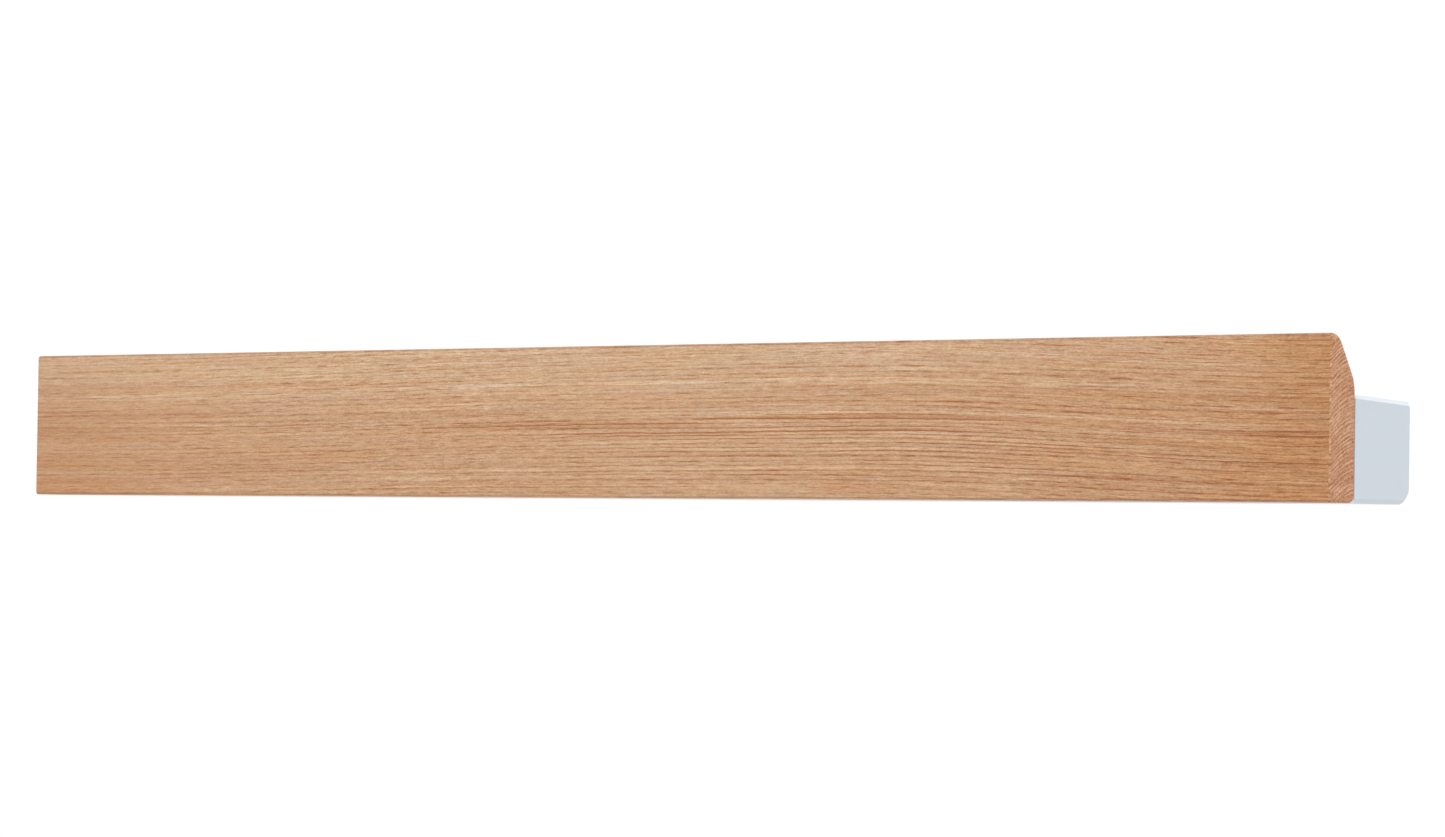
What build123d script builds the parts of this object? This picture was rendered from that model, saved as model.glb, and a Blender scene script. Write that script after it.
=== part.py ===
from build123d import *
import os
from math import radians, tan

# A wall rack for a bicycle: an oak rail carried in front of a folded steel tray. A pedal of the hung
# bicycle passes over the rounded crest of the rail, down the bevel behind it and into the tray.
#
# X runs along the rail, Y towards the wall and Z up. The wall face is Y = 0, and the origin lies on it,
# midway along the rail and level with the wall screws. Lengths are millimetres, angles are degrees.

# Oak rail
rail_length = 1150
rail_height = 100
rail_thickness = 25
bevel_fall = 28.5  # how far down the back of the rail the bevel reaches
bevel_angle = 30.5  # lean of the bevel from upright
crest_radius = 10.5  # from the narrow top into the bevel
bevel_foot_radius = 24  # from the bevel into the upright back
back_foot_radius = 4  # lower back edge
arris = 2  # every other edge

# Folded tray: one sheet, with the free edge behind the rail hemmed
sheet = 2
tray_depth = 58
front_rise = 64.5  # outside height at the rail
wall_rise = 61.5  # outside height at the wall
front_bend = 4  # outside radius under the rail
wall_bend = 10  # outside radius against the wall
hem_height = 9
hem_edge = 1.8  # rounding over the fold of the hem
cut_edge = 0.7  # rounding of the sheet's bare edges

# End plates, welded over the ends of the tray and bevelled at 45 degrees behind the rail
plate_thickness = 3
plate_land = 0.4  # square part of its rim, towards the tray; the rest of the rim is bevel
plate_corner = 3.5  # top corner at the wall, wider than the bevel
plate_setback = 0.3  # each plate stands this far inside the end of the rail

# Holes for the wall screws, and the wider driver holes in front of them
wall_screw_height = 38  # above the underside of the tray
inner_wall_span = 300
outer_wall_span = 900
wall_hole = 6.5
driver_hole = 13

# Screws that hold the rail: M6 button heads through the upstand, into inserts in the oak
screw_count = 5
screw_inset = 45  # from each end of the rail to the outermost screw
screw_height = 42  # above the underside of the tray
thread = 6
screw_length = 16
screw_tip = 0.8
head_width = 10.5
head_height = 3.3
socket_width = 4  # across the flats
socket_depth = 2.1
washer_width = 12.5
washer_thickness = 1.6
washer_edge = 0.3
insert_width = 9
insert_length = 13

# Clearances: the first four on the diameter
screw_clearance = 0.6  # in the upstand
washer_clearance = 0.4  # in the washer
thread_clearance = 0.1  # in the insert, where a plain shank stands for the thread
bore_clearance = 0.1  # between insert and oak
bore_end_gap = 1.5  # beyond the insert

# Places that follow from the sizes above
underside = -wall_screw_height
hem_top = underside + front_rise
wall_top = underside + wall_rise
rail_foot = underside  # rail and tray end level
rail_top = rail_foot + rail_height
rail_back = -tray_depth
rail_front = rail_back - rail_thickness
upstand_back = rail_back + sheet
tray_half = rail_length / 2 - plate_setback - plate_thickness
screw_axis = underside + screw_height
screw_pitch = (rail_length - 2 * screw_inset) / (screw_count - 1)
screw_places = [(i - (screw_count - 1) / 2) * screw_pitch for i in range(screw_count)]
wall_places = [side * span / 2 for span in (inner_wall_span, outer_wall_span) for side in (-1, 1)]

# A round bar that starts at Z = 0 and rises
rising = (Align.CENTER, Align.CENTER, Align.MIN)


def outline(corners):
    """A closed face through (y, z, radius) corners, each rounded by its own radius."""
    face = make_face(Polyline([(y, z) for y, z, _ in corners], close=True))
    for y, z, radius in corners:
        if radius > 0:
            face = fillet(face.vertices().sort_by_distance((y, z))[0], radius)
    return face


def away_from_wall(solid, x, y, z):
    """Turns a solid drawn along +Z so that it points away from the wall, and puts it at x, y, z."""
    return Pos(x, y, z) * Rot(X=90) * solid


def make_oak_rail():
    """The board: a bevelled section along X, its other edges eased, its back bored for the inserts."""
    crest_width = rail_thickness - bevel_fall * tan(radians(bevel_angle))
    section = outline([
        (rail_front, rail_foot, 0),
        (rail_front, rail_top, 0),
        (rail_front + crest_width, rail_top, crest_radius),
        (rail_back, rail_top - bevel_fall, bevel_foot_radius),
        (rail_back, rail_foot, back_foot_radius),
    ])
    board = extrude(Plane.YZ * section, rail_length / 2, both=True)
    left_end, right_end = board.faces().sort_by(Axis.X)[0], board.faces().sort_by(Axis.X)[-1]
    front = board.faces().sort_by(Axis.Y)[0]
    board = fillet({*left_end.edges(), *right_end.edges(), *front.edges()}, arris)
    bore = Cylinder((insert_width + bore_clearance) / 2, insert_length + bore_end_gap, align=rising)
    for x in screw_places:
        board -= away_from_wall(bore, x, rail_back, screw_axis)
    return board


def make_wall_tray():
    """The sheet folded into upstand, floor and wall plate, the edge of the upstand hemmed inwards."""
    floor = underside + sheet
    section = outline([
        (rail_back, hem_top, hem_edge),
        (rail_back, underside, front_bend),
        (0, underside, wall_bend),
        (0, wall_top, cut_edge),
        (-sheet, wall_top, cut_edge),
        (-sheet, floor, wall_bend - sheet),
        (upstand_back, floor, front_bend - sheet),
        (upstand_back, hem_top - hem_height, 0),
        (upstand_back + sheet, hem_top - hem_height, cut_edge),
        (upstand_back + sheet, hem_top, hem_edge),
    ])
    tray = extrude(Plane.YZ * section, tray_half, both=True)
    wall_drill = Cylinder(wall_hole / 2, 2 * sheet)
    driver_drill = Cylinder(driver_hole / 2, 2 * sheet)
    screw_drill = Cylinder((thread + screw_clearance) / 2, 2 * sheet)
    for x in wall_places:
        tray -= away_from_wall(wall_drill, x, -sheet / 2, 0)
        tray -= away_from_wall(driver_drill, x, rail_back + sheet / 2, 0)
    for x in screw_places:
        tray -= away_from_wall(screw_drill, x, rail_back + sheet / 2, screw_axis)
    return tray


def make_right_end_plate():
    """The plate over the tray's right end: its top falls towards the wall, its outer rim is bevelled."""
    section = outline([
        (rail_back, hem_top, 0),
        (rail_back, underside, front_bend),
        (0, underside, wall_bend),
        (0, wall_top, plate_corner),
    ])
    plate = extrude(Plane.YZ * section, plate_thickness)

    # The bevel runs out against the rail, so it is put on a longer blank and cut from there
    reach = 2 * plate_thickness
    blank_front = rail_back - reach
    blank_section = outline([
        (blank_front, hem_top + (hem_top - wall_top) * reach / tray_depth, 0),
        (blank_front, underside, 0),
        (0, underside, wall_bend),
        (0, wall_top, plate_corner),
    ])
    blank = extrude(Plane.YZ * blank_section, plate_thickness)
    rim = blank.faces().sort_by(Axis.X)[-1].edges()
    bevelled = rim.sort_by(Axis.Y)[1:]
    return Pos(X=tray_half) * (plate & chamfer(bevelled, plate_thickness - plate_land))


def make_rail_screw():
    """A button-head screw: the dome under Z = 0 with its hexagonal socket, the shank above."""
    dome_radius = (head_width**2 / 4 + head_height**2) / (2 * head_height)
    dome = Pos(Z=dome_radius - head_height) * Sphere(dome_radius)
    head = dome & Cylinder(head_width / 2, head_height, align=(Align.CENTER, Align.CENTER, Align.MAX))
    shank = Cylinder(thread / 2, screw_length, align=rising)
    shank = chamfer(shank.edges().sort_by(Axis.Z)[-1], screw_tip)
    key = RegularPolygon(socket_width / 2, 6, major_radius=False)
    return head + shank - Pos(Z=-head_height) * extrude(key, socket_depth)


def make_rail_washer():
    """A flat washer lying on Z = 0, its outer edge broken on the side that the head bears on."""
    washer = Cylinder(washer_width / 2, washer_thickness, align=rising)
    washer = chamfer(washer.edges().sort_by(Axis.Z)[0], washer_edge)
    return washer - Cylinder((thread + washer_clearance) / 2, washer_thickness, align=rising)


def make_rail_insert():
    """A brass sleeve that rises from Z = 0, open right through for the screw."""
    sleeve = Cylinder(insert_width / 2, insert_length, align=rising)
    return sleeve - Cylinder((thread + thread_clearance) / 2, insert_length, align=rising)


def group(piece, y):
    """One copy of a fastener for each rail screw, with its Z = 0 at y and pointing away from the wall."""
    return Compound(children=[away_from_wall(piece, x, y, screw_axis) for x in screw_places])


washer_back = upstand_back + washer_thickness
right_end_plate = make_right_end_plate()
nodes = {
    "oak_rail": make_oak_rail(),
    "wall_tray": make_wall_tray(),
    "right_end_plate": right_end_plate,
    "left_end_plate": mirror(right_end_plate, Plane.YZ),
    "rail_screws": group(make_rail_screw(), washer_back),
    "rail_washers": group(make_rail_washer(), washer_back),
    "rail_inserts": group(make_rail_insert(), rail_back),
}

os.makedirs("parts", exist_ok=True)
for name, shape in nodes.items():
    export_step(shape, f"parts/{name}.step")
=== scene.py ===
from math import radians

import bpy
import numpy as np
from mathutils import Matrix, Vector


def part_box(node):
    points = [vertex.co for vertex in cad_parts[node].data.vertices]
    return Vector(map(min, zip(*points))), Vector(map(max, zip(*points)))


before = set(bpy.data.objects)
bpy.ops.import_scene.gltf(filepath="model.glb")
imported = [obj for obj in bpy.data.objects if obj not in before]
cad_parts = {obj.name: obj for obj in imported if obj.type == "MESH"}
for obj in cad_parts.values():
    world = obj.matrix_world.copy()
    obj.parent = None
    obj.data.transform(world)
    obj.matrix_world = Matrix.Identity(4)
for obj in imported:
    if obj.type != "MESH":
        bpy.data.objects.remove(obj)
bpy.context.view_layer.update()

# A bicycle wall rack: an oak rail in front of a white folded tray. Everything is in metres, in the
# frame of the CAD: X along the rail, Y towards the wall, Z up.
MM = 0.001


# ---------------------------------------------------------------- shader arithmetic


class Wire:
    """One socket of a material's node tree. Operators between wires and numbers add Math nodes."""

    def __init__(self, tree, socket=None):
        self.tree, self.socket = tree, socket

    def node(self, kind, settings=None, inputs=None, output=0):
        """Adds any other node: first its settings, then a value or a wire for each named input."""
        made = self.tree.nodes.new(kind)
        for name, value in (settings or {}).items():
            if name == "stops":
                self.set_stops(made.color_ramp, value)
            else:
                setattr(made, name, value)
        for name, value in (inputs or {}).items():
            if isinstance(value, Wire):
                self.tree.links.new(value.socket, made.inputs[name])
            else:
                made.inputs[name].default_value = value
        return None if output is None else Wire(self.tree, made.outputs[output])

    @staticmethod
    def set_stops(ramp, stops):
        """Gives a colour ramp its stops, as (position, colour) from low to high."""
        for position, _ in stops[1:-1]:
            ramp.elements.new(position)
        for element, (position, colour) in zip(ramp.elements, stops):
            element.position, element.color = position, colour

    def math(self, operation, first, second):
        """Adds a Math node."""
        return self.node("ShaderNodeMath", {"operation": operation}, {0: first, 1: second})

    def __add__(self, other):
        return self.math("ADD", self, other)

    def __sub__(self, other):
        return self.math("SUBTRACT", self, other)

    def __rsub__(self, other):
        return self.math("SUBTRACT", other, self)

    def __mul__(self, other):
        return self.math("MULTIPLY", self, other)

    def __truediv__(self, other):
        return self.math("DIVIDE", self, other)

    def __pow__(self, other):
        return self.math("POWER", self, other)

    def __abs__(self):
        return self.math("ABSOLUTE", self, 0.0)

    def __mod__(self, other):
        return self.math("FLOORED_MODULO", self, other)

    __radd__, __rmul__ = __add__, __mul__


def new_material(name):
    """An empty material and the wire that its nodes are added through."""
    material = bpy.data.materials.new(name)
    material.use_nodes = True
    material.node_tree.nodes.clear()
    return material, Wire(material.node_tree)


def place_on_piece(wire):
    """The place of each point, in metres, as one vector."""
    return wire.node("ShaderNodeTexCoord", output="Object")


def parts_of(vector):
    """The x, y and z of a vector."""
    return [vector.node("ShaderNodeSeparateXYZ", None, {0: vector}, i) for i in range(3)]


def noise(place, size, detail=2.0, rough=0.5, seed=0.0):
    """Smooth noise from 0 to 1 whose lumps measure size = (along X, along Y, along Z) in metres."""
    scaled = place.node("ShaderNodeVectorMath", {"operation": "MULTIPLY_ADD"},
                        {0: place, 1: [1 / s for s in size], 2: (seed, seed, seed)})
    return place.node("ShaderNodeTexNoise", None,
                      {"Vector": scaled, "Scale": 1.0, "Detail": detail, "Roughness": rough})


def ease(value, low, high):
    """0 below low, 1 above high, and a smooth step between them."""
    return value.node("ShaderNodeMapRange", {"interpolation_type": "SMOOTHSTEP"},
                      {"Value": value, "From Min": low, "From Max": high})


def mix(share, first, second, blend="MIX"):
    """The colour first, turned into second by share, where one of the three at least is a wire."""
    wire = next(value for value in (share, first, second) if isinstance(value, Wire))
    return wire.node("ShaderNodeMix", {"data_type": "RGBA", "blend_type": blend},
                     {0: share, 6: first, 7: second}, 2)


def multiply(first, second):
    """Two colours, or a colour and a brightness, multiplied."""
    return mix(1.0, first, second, "MULTIPLY")


def finish_surface(wire, inputs):
    """A Principled surface with the given sockets, joined to the material's output."""
    shader = wire.node("ShaderNodeBsdfPrincipled", None, inputs)
    wire.node("ShaderNodeOutputMaterial", None, {"Surface": shader}, None)


def dress(node, material):
    """Gives a CAD node its finish."""
    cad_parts[node].material_slots[0].material = material


# ---------------------------------------------------------------- oiled oak

RING_PITCH = 2.8 * MM  # between growth rings
END_LINE_PITCH = 2.5 * MM  # between the pale lines on a sawn end


class OakGrain:
    """The rift-sawn board, followed along its grain. Growth rings are sheets that run along X. They climb
    from the front of the board to the back, ever less steeply, and drift and wave along its length. The
    points of one sheet share a level: the height at which it would meet the front if it ran straight."""

    def __init__(self, place):
        self.x, self.y, self.z = parts_of(place)
        self.depth = self.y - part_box("oak_rail")[0].y
        drift = ease(self.x, -0.60, 0.15) * 6.5 * MM - ease(self.x, 0.20, 0.60) * 10.5 * MM
        wander = (noise(place, (0.22, 0.08, 0.06), 1.0, seed=3.1) - 0.5) * 2 * MM
        wave = (noise(place, (0.09, 0.02, 0.008), 2.0, seed=7.7) - 0.5) * 1.1 * MM
        ripple = (noise(place, (0.016, 0.01, 0.003), 2.0, 0.6, seed=52.0) - 0.5) * 1.7 * MM
        wave = wave + ripple * (1 - ease(self.x, -0.25, 0.10) * 0.4)
        rise = self.depth * 0.82 - self.depth * self.depth * 13.5
        self.level = self.z - drift + wander + wave - rise
        self.place = place.node("ShaderNodeCombineXYZ", None, {0: self.x, 1: self.y, 2: self.level})

        # specks, short fibres, dashes and long streaks
        self.fine = self.noise((0.0022, 0.0008, 0.0007), 3.0, 0.6, seed=6.0) - 0.5
        self.fibres = self.noise((0.009, 0.0009, 0.0006), 3.0, 0.55, seed=16.0) - 0.5
        self.dashes = ease(self.noise((0.013, 0.0013, 0.0008), seed=8.0), 0.50, 0.70)
        self.streaks = self.noise((0.30, 0.006, 0.0028), seed=22.0) - 0.5

        # growth rings, unevenly spaced, each beginning with a broken row of long open pores, which is
        # fuller on one stretch of the board
        self.slow_spread = self.noise((1.2, 0.6, 0.022), 1.0, seed=5.0) * 1.6
        self.quick_spread = self.noise((0.5, 0.3, 0.006), 1.0, seed=0.0) * 1.5
        ring = (self.level / RING_PITCH + self.slow_spread + self.quick_spread) % 1.0
        self.early = 1 - ease(abs(ring - 0.25), 0.06, 0.24)
        broken = ease(self.noise((0.018, 0.004, 0.0026), 2.0, 0.6, seed=4.0), 0.40, 0.66)
        fuller = self.patch(0.17, -0.012, 0.34, 0.026)
        self.rows = self.early * (broken * 0.65 + 0.15 + fuller * 0.36)

        # larger pale marks, broken up along their length
        pale = self.marks(
            (1.0, 0.00, 0.0313, 0.80, 0.0026), (0.4, -0.47, 0.0313, 0.25, 0.0028),
            (1.0, 0.24, 0.0110, 0.30, 0.0022), (0.8, 0.42, 0.0475, 0.20, 0.0024),
            (0.6, 0.01, -0.0070, 0.09, 0.0030), (0.8, 0.10, -0.0240, 0.35, 0.0028))
        self.pale = pale * ease(self.noise((0.07, 0.004, 0.0011), 2.0, 0.6, seed=71.0), 0.38, 0.66)

    def noise(self, size, detail=2.0, rough=0.5, seed=0.0):
        """Noise whose lumps follow the grain."""
        return noise(self.place, size, detail, rough, seed)

    def patch(self, middle, level, length, width):
        """1 in the middle of a long patch that follows the grain, 0 outside it: an ellipse round middle
        and level, with length and width as its half axes."""
        along, across = (self.x - middle) / length, (self.level - level) / width
        return 1 - ease(along * along + across * across, 0.1, 1.0)

    def marks(self, *rows):
        """Several patches added up. Each row is (share, middle, level, length, width)."""
        return sum(self.patch(*patch) * share for share, *patch in rows)


def oak_tone(oak):
    """How dark the long grain is, with 0.5 in the middle: pores, fibres, long threads, pale flecks and
    larger marks, faintest at the left end of the board and strongest at the right."""
    threads = oak.noise((0.30, 0.004, 0.0009), seed=12.0) - 0.5
    flecks = ease(oak.noise((0.09, 0.003, 0.0011), seed=9.0), 0.56, 0.74)
    dark = oak.marks(
        (1.3, -0.04, 0.0047, 0.16, 0.0034), (1.0, 0.04, -0.0017, 0.12, 0.0022),
        (2.0, 0.21, 0.0080, 0.17, 0.0024), (1.6, 0.23, -0.0004, 0.12, 0.0018),
        (0.9, 0.55, 0.0060, 0.07, 0.0030), (0.7, 0.54, -0.0120, 0.07, 0.0018),
        (0.4, -0.58, 0.0190, 0.10, 0.0035), (0.4, -0.58, 0.0080, 0.12, 0.0030))
    tone = oak.fine * 0.75 + oak.fibres * 0.7 + (oak.rows - 0.2) * 0.62 + (oak.dashes - 0.3) * 0.26
    tone = tone - (flecks - 0.15) * 0.3 + threads * 0.66 + oak.streaks * 0.35
    tone = tone + dark * (0.14 + oak.early * 0.36) - oak.pale * 0.32
    tone = tone - oak.patch(0.05, -0.012, 0.34, 0.022) * 0.035

    strength = 0.56 + ease(oak.x, -0.55, -0.28) * 0.26 - ease(oak.x, -0.20, 0.0) * 0.04
    strength = strength + ease(oak.x, 0.10, 0.50) * 0.24
    return tone * strength + 0.5


def oak_warmth(oak):
    """How brown the long grain is: more so low down and at both ends, and in bands and patches. A patch
    with a negative share is paler."""
    bands = oak.noise((0.5, 0.03, 0.016), 3.0, 0.4, seed=2.0) - 0.5
    warmth = 0.42 - ease(oak.z, 0.015, 0.062) * 0.42 + bands * 0.5 + oak.streaks * 0.25 - oak.pale * 0.15
    warmth = warmth + oak.marks(
        (0.14, -0.45, 0.0120, 0.36, 0.016), (0.16, -0.45, 0.0360, 0.36, 0.006),
        (0.24, -0.45, -0.0140, 0.36, 0.011), (0.27, -0.60, -0.0340, 0.22, 0.012),
        (0.22, 0.21, -0.0360, 0.06, 0.005), (-0.25, 0.32, -0.0255, 0.09, 0.006),
        (0.20, 0.48, -0.0035, 0.09, 0.006), (0.22, 0.51, -0.0195, 0.06, 0.006),
        (-0.25, 0.52, 0.0230, 0.07, 0.006), (-0.14, -0.09, -0.0175, 0.28, 0.006),
        (0.13, 0.27, 0.0320, 0.09, 0.006), (0.16, 0.345, -0.0163, 0.06, 0.005))
    warmth = warmth + (1 - ease(oak.x, -0.60, -0.40)) * 0.12
    warmth = warmth + ease(oak.x, 0.20, 0.46) * (0.29 + ease(oak.z, 0.010, 0.060) * 0.22)
    return warmth + ease(oak.x, 0.46, 0.60) * 0.50


def oak_tint(oak):
    """Slight changes of hue from place to place, near white: yellow to blue, and pink to green."""
    hue = ease(oak.noise((0.13, 0.03, 0.0055), seed=31.0), 0.34, 0.66)
    blush = ease(oak.noise((0.06, 0.03, 0.005), seed=61.0), 0.34, 0.66)
    return multiply(mix(hue, (1.022, 1.0, 0.955, 1), (0.985, 0.99, 1.03, 1)),
                    mix(blush, (1.014, 0.986, 0.997, 1), (0.992, 1.002, 1.0, 1)))


def long_grain(oak):
    """The colour of every face along the board."""
    tone = oak_tone(oak)
    colour = tone.node("ShaderNodeValToRGB", {"stops": [
        (0.00, (0.825, 0.630, 0.428, 1)), (0.50, (0.645, 0.385, 0.208, 1)),
        (1.00, (0.440, 0.168, 0.049, 1))]}, {0: tone})
    colour = mix(oak_warmth(oak), colour, (0.80, 0.60, 0.41, 1), "MULTIPLY")
    colour = multiply(colour, oak_tint(oak))

    # fine grit, coarser on some stretches than on others
    curl = oak.noise((0.010, 0.004, 0.0011), 3.0, 0.65, seed=51.0) - 0.5
    grit = 0.44 + oak.patch(-0.17, 0.01, 0.18, 0.08) * 0.3 + ease(oak.x, -0.05, 0.10) * 0.10
    grit = grit + ease(oak.x, 0.28, 0.45) * 0.14
    return multiply(colour, 1.0 - (curl * 0.75 + oak.fine * 0.55 + oak.fibres * 0.5) * grit)


def sawn_end(oak):
    """The colour of the sawn ends: thin pale lines along the sheets, broken up by finer veins and beads,
    and a little duller towards the back."""
    late = (oak.level / END_LINE_PITCH + oak.slow_spread * 0.8 + oak.quick_spread * 0.6) % 1.0
    line = 1 - ease(abs(late - 0.5), 0.04, 0.22)
    strong = ease(oak.noise((0.05, 0.007, 0.005), 1.0, seed=42.0), 0.35, 0.65)
    veins = oak.noise((0.01, 0.009, 0.00085), 1.0, seed=41.0) - 0.5
    beads = oak.noise((0.01, 0.0016, 0.0009), 1.0, seed=45.0) - 0.5
    belts = oak.noise((0.05, 0.05, 0.007), seed=43.0) - 0.5
    inner = ease(oak.depth, 17 * MM, 24 * MM)
    cut = 0.64 - line * (0.28 + strong * 0.24) * (1 - inner * 0.5)
    cut = cut + veins * 1.1 + beads * 1.1 + oak.fine * 1.4 + belts * 0.6
    colour = cut.node("ShaderNodeValToRGB", {"stops": [
        (0.05, (0.87, 0.495, 0.275, 1)), (0.55, (0.65, 0.290, 0.134, 1)),
        (1.00, (0.43, 0.135, 0.041, 1))]}, {0: cut})
    return mix(inner * 0.8, colour, (1.0, 0.94, 0.93, 1), "MULTIPLY")


def oiled_oak():
    """Sanded and oiled oak: long grain, sawn ends, and eased edges between them."""
    material, wire = new_material("oiled_oak")
    oak = OakGrain(place_on_piece(wire))
    nx, ny, nz = parts_of(wire.node("ShaderNodeTexCoord", output="Normal"))

    # painted shade darkens the long edges of the front, and the edges round the ends are paler in specks,
    # partly painted highlight and partly wear
    shaded_long_edge = ease(abs(ny * nz), 0.10, 0.40) * (1 - ease(oak.depth, 1.5 * MM, 2.5 * MM))
    colour = mix(shaded_long_edge * 0.75, long_grain(oak), (0.62, 0.55, 0.50, 1), "MULTIPLY")
    colour = mix(ease(abs(nx), 0.75, 0.95), colour, sawn_end(oak))
    # painted highlight on the rounded edges round the ends, where they would catch light, partly wear
    # too, broken into specks
    wear_and_highlight_specks = ease(oak.noise((0.01, 0.01, 0.0010), 2.0, 0.6, seed=44.0), 0.47, 0.60)
    lit_worn_end_edge = ease(abs(nx * ny), 0.30, 0.49) * wear_and_highlight_specks * 0.8
    colour = mix(lit_worn_end_edge, colour, (0.90, 0.50, 0.25, 1))

    relief = wire.node("ShaderNodeBump", None, {
        "Strength": 0.5, "Distance": 0.12 * MM,
        "Height": (1 - oak.rows) * 0.6 + (1 - oak.dashes) * 0.4 + oak.fine * 0.5})
    finish_surface(wire, {
        "Base Color": colour, "Roughness": 0.48 + oak.fine * 0.12 + oak.dashes * 0.12,
        "Normal": relief})
    return material


# ---------------------------------------------------------------- coat and metals


def white_powder_coat():
    """Cool white powder coat: an even satin film with a fine orange-peel skin."""
    material, wire = new_material("white_powder_coat")
    place = place_on_piece(wire)
    peel = noise(place, (0.0011, 0.0011, 0.0011))
    cloud = noise(place, (0.05, 0.05, 0.05), seed=2.0)
    colour = mix(cloud, (0.755, 0.787, 0.822, 1), (0.775, 0.807, 0.84, 1))
    relief = wire.node("ShaderNodeBump", None,
                       {"Strength": 0.12, "Distance": 0.05 * MM, "Height": peel})
    finish_surface(wire, {"Base Color": colour, "Roughness": 0.38 + peel * 0.06, "Normal": relief})
    return material


def bare_metal(name, dull, bright, roughness, spread):
    """A metal with a fine mottle from dull to bright, which is spread rougher where it is bright."""
    material, wire = new_material(name)
    mottle = noise(place_on_piece(wire), (0.0006, 0.0006, 0.0006), 3.0)
    finish_surface(wire, {
        "Base Color": mix(mottle, dull, bright), "Metallic": 1.0,
        "Roughness": roughness + mottle * spread})
    return material


def zinc_plate():
    """Bright zinc, pale blue-grey."""
    return bare_metal("zinc_plated_steel", (0.60, 0.62, 0.64, 1), (0.72, 0.73, 0.73, 1), 0.26, 0.14)


def turned_brass():
    """Turned brass, dulled a little."""
    return bare_metal("turned_brass", (0.62, 0.44, 0.16, 1), (0.74, 0.56, 0.24, 1), 0.3, 0.15)


# ---------------------------------------------------------------- studio

FLOOR_RADIUS = 18.0
FLOOR_HEIGHT = -1.25
PLAIN_WHITE = (1, 1, 1, 1)


def floor_disc(radius, height):
    """A round floor: rings of points at radius * r, each at cos and sin of its angle, round one point in
    the middle."""
    rings, spokes = 24, 96
    r, a = np.meshgrid(np.linspace(0, 1, rings)[1:], np.linspace(0, 2 * np.pi, spokes, False),
                       indexing="ij")
    points = np.stack([radius * r * np.cos(a), radius * r * np.sin(a), np.full(r.shape, height)], -1)
    points = np.concatenate([[[0.0, 0.0, height]], points.reshape(-1, 3)])
    i, j = np.meshgrid(np.arange(rings - 2), np.arange(spokes), indexing="ij")
    near, next_j = 1 + i * spokes, (j + 1) % spokes
    quads = np.stack([near + j, near + spokes + j, near + spokes + next_j, near + next_j], -1)
    k = np.arange(spokes)
    fan = np.stack([0 * k, 1 + k, 1 + (k + 1) % spokes], -1)
    mesh = bpy.data.meshes.new("studio_floor")
    mesh.from_pydata(points.tolist(), [], quads.reshape(-1, 4).tolist() + fan.tolist())
    mesh.materials.append(floor_paint(radius))
    floor = bpy.data.objects.new("studio_floor", mesh)
    bpy.context.scene.collection.objects.link(floor)


def floor_paint(radius):
    """Pale grey that fades away towards the rim of the floor and can be seen through from below."""
    material, wire = new_material("studio_floor")
    paint = wire.node("ShaderNodeBsdfPrincipled", None,
                      {"Base Color": (0.68, 0.68, 0.68, 1), "Roughness": 0.8})
    x, y, _ = parts_of(place_on_piece(wire))
    faded = ease((x * x + y * y) ** 0.5, 0.35 * radius, 0.97 * radius)
    below = wire.node("ShaderNodeNewGeometry", output="Backfacing")
    clear = wire.node("ShaderNodeBsdfTransparent")
    seen = wire.node("ShaderNodeMixShader", None,
                     {0: wire.math("MAXIMUM", faded, below), 1: paint, 2: clear})
    wire.node("ShaderNodeOutputMaterial", None, {"Surface": seen}, None)
    return material


def soft_light(name, place, target, size, power):
    """A square lamp at place that points at target: its side in metres, its power in watts. The camera
    doesn't see it."""
    light = bpy.data.lights.new(name, "AREA")
    light.shape, light.size, light.energy = "SQUARE", size, power
    lamp = bpy.data.objects.new(name, light)
    lamp.rotation_mode = "QUATERNION"
    lamp.rotation_quaternion = (Vector(target) - Vector(place)).to_track_quat("-Z", "Y")
    lamp.location = place
    lamp.visible_camera = False
    bpy.context.scene.collection.objects.link(lamp)


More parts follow.
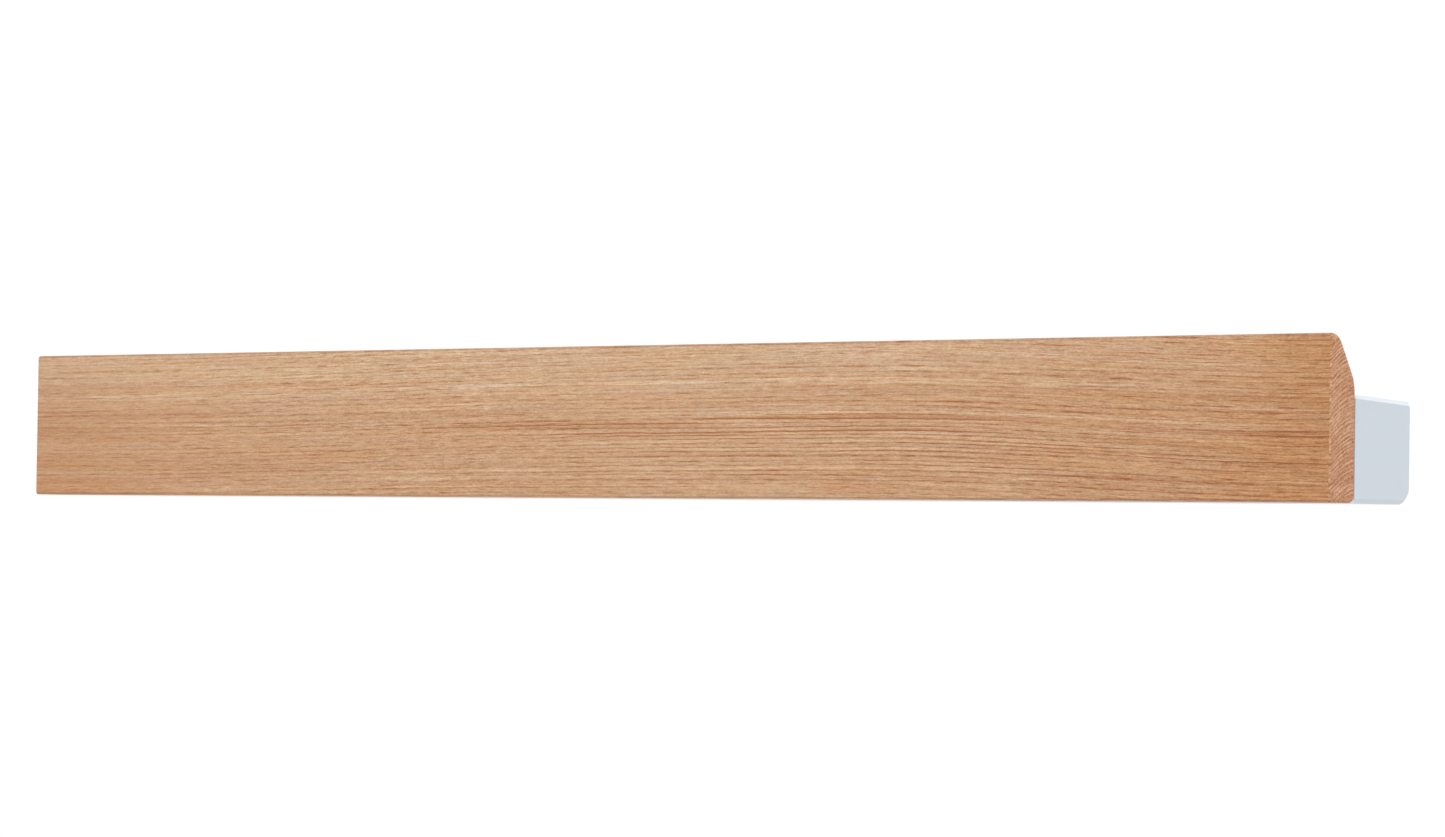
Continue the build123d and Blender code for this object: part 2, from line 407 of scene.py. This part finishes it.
def soft_room():
    """The world: plain white to the camera, and to the object a pale room, dimmer and cooler at its sides
    and brighter overhead."""
    world = bpy.data.worlds.new("studio")
    bpy.context.scene.world = world
    world.use_nodes = True
    world.node_tree.nodes.clear()
    wire = Wire(world.node_tree)
    across, _, up = parts_of(wire.node("ShaderNodeTexCoord", output="Generated"))
    colour = mix(ease(abs(across), 0.2, 1.0), PLAIN_WHITE, (0.535, 0.605, 0.68, 1))
    room = wire.node("ShaderNodeBackground", None,
                     {"Color": colour, "Strength": 1.16 + ease(up, 0.0, 1.0) * 0.04})
    plain = wire.node("ShaderNodeBackground", None, {"Color": PLAIN_WHITE, "Strength": 1.02})
    seen = wire.node("ShaderNodeLightPath", output="Is Camera Ray")
    both = wire.node("ShaderNodeMixShader", None, {0: seen, 1: room, 2: plain})
    wire.node("ShaderNodeOutputWorld", None, {"Surface": both}, None)


def studio():
    """A pale room with a floor far below, a broad lamp overhead and a faint one under the left half."""
    soft_room()
    floor_disc(FLOOR_RADIUS, FLOOR_HEIGHT)
    soft_light("overhead", (0.0, -0.3, 2.2), (0, 0, 0), size=2.0, power=14)
    soft_light("bounce", (-0.5, 0.15, -1.2), (-0.5, 0.15, 0), size=0.8, power=7)
    bpy.context.scene.view_settings.view_transform = "Standard"


def place_camera():
    """A long lens that looks up very slightly at the front from the right."""
    place = (2.5546, -2.8067, -0.0747)
    heading, rise, lean = radians(42.102), radians(1.379), radians(0.8815)
    camera = bpy.data.objects.new("camera", bpy.data.cameras.new("camera"))
    camera.data.lens = 142.0  # millimetres
    turn = (Matrix.Rotation(heading, 4, "Z") @ Matrix.Rotation(radians(90) + rise, 4, "X")
            @ Matrix.Rotation(lean, 4, "Z"))
    camera.matrix_world = Matrix.Translation(place) @ turn
    bpy.context.scene.collection.objects.link(camera)
    bpy.context.scene.camera = camera


# ---------------------------------------------------------------- the rack

oak, coat, zinc, brass = oiled_oak(), white_powder_coat(), zinc_plate(), turned_brass()
dress("oak_rail", oak)
for node in ("wall_tray", "left_end_plate", "right_end_plate"):
    dress(node, coat)
for node in ("rail_screws", "rail_washers"):
    dress(node, zinc)
dress("rail_inserts", brass)
studio()
place_camera()
